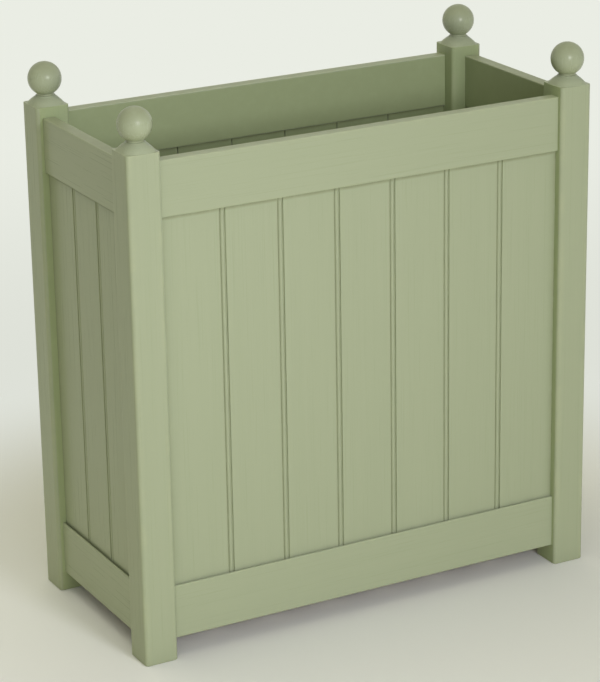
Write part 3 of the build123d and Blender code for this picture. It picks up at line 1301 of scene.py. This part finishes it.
            # Painted shade just over the bottom rail and just under the top rail
            above = self.rail_shade * np.exp(-np.abs(stations - rail_top) / self.rail_reach)
            below = np.clip(2.0 - np.maximum(rail_under - stations, 0.0) / self.eaves_reach, 0.0, 1.0)
            dirt = np.maximum(above, below)
            skin = carried(section, stations, self.wall.place, self.number + index, dirt)
            from_post = self.wall.half_span - np.abs(section[:, 0])
            # Painted shade that deepens towards the posts
            skin.crevice = np.maximum(skin.crevice, np.exp(-from_post / self.post_reach))
            yield skin.to_object(f"beaded_board_{word}_{index}"), node


@dataclass
class LooseFloor:
    """Slatted floor, its bearers and the fixings, which keep their solids and get a finish."""

    effects: SharedEffects
    finishes: dict[str, bpy.types.Material] = field(default_factory=dict)

    @staticmethod
    def _apart(first: str, second: str, axis: int) -> float:
        """Distance between the middles of two nodes along an axis."""
        return float(np.mean(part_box(second), 0)[axis] - np.mean(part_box(first), 0)[axis])

    def __post_init__(self) -> None:
        """Makes a timber for each way that the lengths run, and the plating."""
        slats = self._apart("floor_slat_1", "floor_slat_2", 0)
        battens = self._apart("floor_batten_front", "floor_batten_rear", 1)
        long_bearers = self._apart("floor_bearer_front", "floor_bearer_rear", 1)
        short_bearers = self._apart("floor_bearer_left", "floor_bearer_right", 0)
        dowels = self._apart("post_front_left", "post_front_right", 0)
        timbers = {
            "floor_slat": TimberFinish(self.effects, GrainAxis.Y, "slat_softwood", 0, slats, slats / 2),
            "floor_batten": TimberFinish(self.effects, GrainAxis.X, "batten_softwood", 1, battens),
            "floor_bearer_front": TimberFinish(
                self.effects, GrainAxis.X, "long_bearer_softwood", 1, long_bearers
            ),
            "floor_bearer_left": TimberFinish(
                self.effects, GrainAxis.Y, "short_bearer_softwood", 0, short_bearers
            ),
            "finial_dowels": TimberFinish(self.effects, GrainAxis.Z, "dowel_softwood", 0, dowels),
        }
        for stem, finish in timbers.items():
            self.finishes[stem] = finish.material()
        self.finishes["floor_bearer_rear"] = self.finishes["floor_bearer_front"]
        self.finishes["floor_bearer_right"] = self.finishes["floor_bearer_left"]
        zinc = ZincFinish().material()
        self.finishes["bearer_screws"] = zinc
        self.finishes["floor_screws"] = zinc

    def dress(self) -> None:
        """Gives each kept solid the finish whose name it starts with."""
        for name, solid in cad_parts.items():
            for stem, material in self.finishes.items():
                if name.startswith(stem):
                    solid.data.materials.clear()
                    solid.data.materials.append(material)
                    log.info("%s finished as %s", name, material.name)


# Studio


@dataclass(frozen=True)
class SkyPatch:
    """Broad soft patch of studio light: its light times a power of the cosine from its axis."""

    axis: Triple
    light: Colour
    focus: float


@dataclass(frozen=True)
class SoftLamp:
    """Square area lamp that either lights the planter or only shows in the paint as a highlight."""

    name: str
    place: Triple
    aim: Triple
    size: float
    power: float
    colour: Colour
    spread: float
    highlight: bool

    def build(self) -> None:
        """Makes the lamp, turned from its place to its aim."""
        data = bpy.data.lights.new(self.name, "AREA")
        data.shape = "SQUARE"
        data.size = self.size
        data.energy = self.power
        data.color = self.colour
        data.spread = self.spread
        lamp = bpy.data.objects.new(self.name, data)
        place = Vector(self.place)
        turn = (Vector(self.aim) - place).to_track_quat("-Z", "Y").to_matrix().to_4x4()
        turn.translation = place
        lamp.matrix_world = turn
        lamp.visible_diffuse = not self.highlight
        lamp.visible_glossy = self.highlight
        bpy.context.scene.collection.objects.link(lamp)


@dataclass
class Studio:
    """Pale floor that fades into a bright backdrop, soft light from above and ahead, lamps and the camera."""

    floor_colour: Colour = (0.895, 0.892, 0.918)
    floor_bounce: Colour = (0.87, 0.87, 0.72)
    near_backdrop: Colour = (0.730, 0.752, 0.686)
    far_backdrop: Colour = (0.823, 0.847, 0.776)
    fade_start: float = 0.45
    fade_end: float = 0.90
    far_distance: float = 2.6
    floor_radius: float = 9.0
    floor_rings: int = 24
    floor_columns: int = 96
    first_ring: float = 0.02
    floor_roughness: float = 0.85
    floor_sheen: float = 0.15
    overhead: SkyPatch = SkyPatch((-0.04, 0.0, 1.0), (1.17, 1.15, 0.84), focus=10.0)
    behind: SkyPatch = SkyPatch((-0.12, 0.5, 0.86), (1.10, 1.08, 0.79), focus=5.0)
    ahead: SkyPatch = SkyPatch((-0.1, -0.95, 0.3), (1.01, 1.02, 0.98), focus=6.0)
    beside: SkyPatch = SkyPatch((-0.45, -0.8, 0.4), (0.72, 0.73, 0.68), focus=8.0)
    soft_lamp: SoftLamp = SoftLamp(
        "soft_lamp",
        place=(0.05, -2.75, 1.36),
        aim=(-0.45, 0.0, 0.55),
        size=0.5,
        power=5.5,
        colour=(0.96, 0.97, 1.0),
        spread=radians(74),
        highlight=False,
    )
    softbox: SoftLamp = SoftLamp(
        "softbox",
        place=(-0.44, -2.75, 1.56),
        aim=(0.0, 0.0, 0.72),
        size=0.5,
        power=24.0,
        colour=(1.0, 1.0, 0.97),
        spread=pi,
        highlight=True,
    )
    focal_pixels: float = 2682.23
    image_height: int = 682
    sensor: float = 36.0
    camera_place: Triple = (-1.69463, -3.11225, 1.60072)
    yaw: float = radians(-28.289)
    pitch: float = radians(-19.459)
    roll: float = radians(-1.009)

    @staticmethod
    def _seen(bench: Bench) -> bpy.types.NodeSocket:
        """Tells rays that show the backdrop, seen or mirrored, from rays that light the planter.

        Args:
            bench: Bench of the floor's material or of the world.

        Returns:
            One for a ray that shows the backdrop, and otherwise none.
        """
        ray = bench.node("ShaderNodeLightPath").outputs
        mirrored = bench.math("MAXIMUM", ray["Is Glossy Ray"], ray["Is Transmission Ray"])
        return bench.math("MAXIMUM", ray["Is Camera Ray"], mirrored)

    def _floor_material(self) -> bpy.types.Material:
        """Makes a matt floor that takes shadows near the planter and turns into the backdrop further out.

        Returns:
            The floor's material.
        """
        made, bench, shader = new_material("studio_floor")
        tone = bench.blended(self._seen(bench), rgba(self.floor_bounce), rgba(self.floor_colour))
        bench.feed(shader.inputs["Base Color"], tone)
        shader.inputs["Roughness"].default_value = self.floor_roughness
        shader.inputs["Specular IOR Level"].default_value = self.floor_sheen
        place = bench.node("ShaderNodeTexCoord").outputs["Object"]
        distance = bench.vector("LENGTH", place)
        far = bench.spread(distance, self.fade_end, self.far_distance)
        backdrop = bench.blended(far, rgba(self.near_backdrop), rgba(self.far_backdrop))
        glow = bench.node("ShaderNodeEmission", {"Color": backdrop})
        out = bench.spread(distance, self.fade_start, self.fade_end)
        share = bench.math("MULTIPLY", out, self._seen(bench))
        output = made.node_tree.nodes["Material Output"]
        bench.feed(output.inputs["Surface"], bench.mixed(share, shader, glow))
        return made

    def _floor(self) -> None:
        """Lays a round floor: radius times cosine and sine, with rings that widen outwards."""
        ring = self.floor_radius * np.linspace(self.first_ring, 1.0, self.floor_rings) ** 2
        angle = np.linspace(0.0, tau, self.floor_columns, endpoint=False)
        x, y = ring[:, None] * np.cos(angle), ring[:, None] * np.sin(angle)
        points = np.stack((x, y, np.zeros_like(x)), -1).reshape(-1, 3)
        index = np.arange(len(points)).reshape(x.shape)
        near, far = index[:-1], index[1:]
        quads = np.stack((near, far, np.roll(far, -1, 1), np.roll(near, -1, 1)), -1).reshape(-1, 4)
        mesh = bpy.data.meshes.new("studio_floor")
        mesh.from_pydata(points.tolist(), [], quads.tolist() + [index[0].tolist()])
        mesh.materials.append(self._floor_material())
        floor = bpy.data.objects.new("studio_floor", mesh)
        bpy.context.scene.collection.objects.link(floor)
        floor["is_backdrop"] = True

    def _sky(self) -> None:
        """Light of the sky's patches added together, which the camera sees as the plain backdrop."""
        world = bpy.data.worlds.new("studio")
        world.use_nodes = True
        bpy.context.scene.world = world
        bench = Bench(world.node_tree)
        light = world.node_tree.nodes["Background"]
        direction = bench.node("ShaderNodeTexCoord").outputs["Generated"]
        total: Any = (0.0, 0.0, 0.0)
        for patch in (self.overhead, self.behind, self.ahead, self.beside):
            near = bench.vector("DOT_PRODUCT", direction, Vector(patch.axis).normalized())
            glow = bench.math("POWER", bench.math("MAXIMUM", near, 0.0), patch.focus)
            total = bench.vector("MULTIPLY_ADD", glow, patch.light, total)
        bench.feed(light.inputs["Color"], total)
        seen = bench.node("ShaderNodeBackground", {"Color": rgba(self.far_backdrop), "Strength": 1.0})
        output = world.node_tree.nodes["World Output"]
        bench.feed(output.inputs["Surface"], bench.mixed(self._seen(bench), light, seen))

    def _camera(self) -> None:
        """Camera of the photograph: yaw and pitch give the axis, and roll turns it."""
        level = cos(self.pitch)
        ahead = Vector((-sin(self.yaw) * level, cos(self.yaw) * level, sin(self.pitch)))
        right = ahead.cross(Vector((0.0, 0.0, 1.0))).normalized()
        up = right.cross(ahead)
        rolled_right = right * cos(self.roll) + up * sin(self.roll)
        rolled_up = up * cos(self.roll) - right * sin(self.roll)
        data = bpy.data.cameras.new("camera")
        data.sensor_width = self.sensor
        data.lens = self.focal_pixels * self.sensor / self.image_height
        camera = bpy.data.objects.new("camera", data)
        turn = Matrix((rolled_right, rolled_up, -ahead)).transposed().to_4x4()
        turn.translation = Vector(self.camera_place)
        camera.matrix_world = turn
        bpy.context.scene.collection.objects.link(camera)
        bpy.context.scene.camera = camera

    def build(self) -> None:
        """Sets up floor, light and camera."""
        self._floor()
        self._sky()
        self.soft_lamp.build()
        self.softbox.build()
        self._camera()
        bpy.context.scene.view_settings.view_transform = "Standard"
        log.info("studio set up")


def write_sizes() -> None:
    """Works out the solids' box and the finished planter's box as lists of corners, which nothing uses
    further.
    """
    boxes = {"cad": CAD_BOX, "visual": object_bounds()}
    lists = {name: [list(corner) for corner in box] for name, box in boxes.items()}


def main() -> None:
    """Builds and finishes the planter piece by piece, then the studio around it."""
    logging.basicConfig(level=logging.INFO, format="%(name)s: %(message)s")
    effects = SharedEffects()
    paint = PaintFinish(effects).material()
    CornerPosts(paint).dress()
    BallFinials(PaintFinish.on_turning(effects).material()).dress()
    for step, side in enumerate(Side, start=1):
        wall = Wall.on(side)
        FramingRails(paint, wall, number=PER_SIDE * step).dress()
        BeadedBoards(paint, wall, number=PER_SIDE * step + BOARDS_FROM).dress()
    LooseFloor(effects).dress()
    Studio().build()
    write_sizes()


if __name__ == "__main__":
    main()
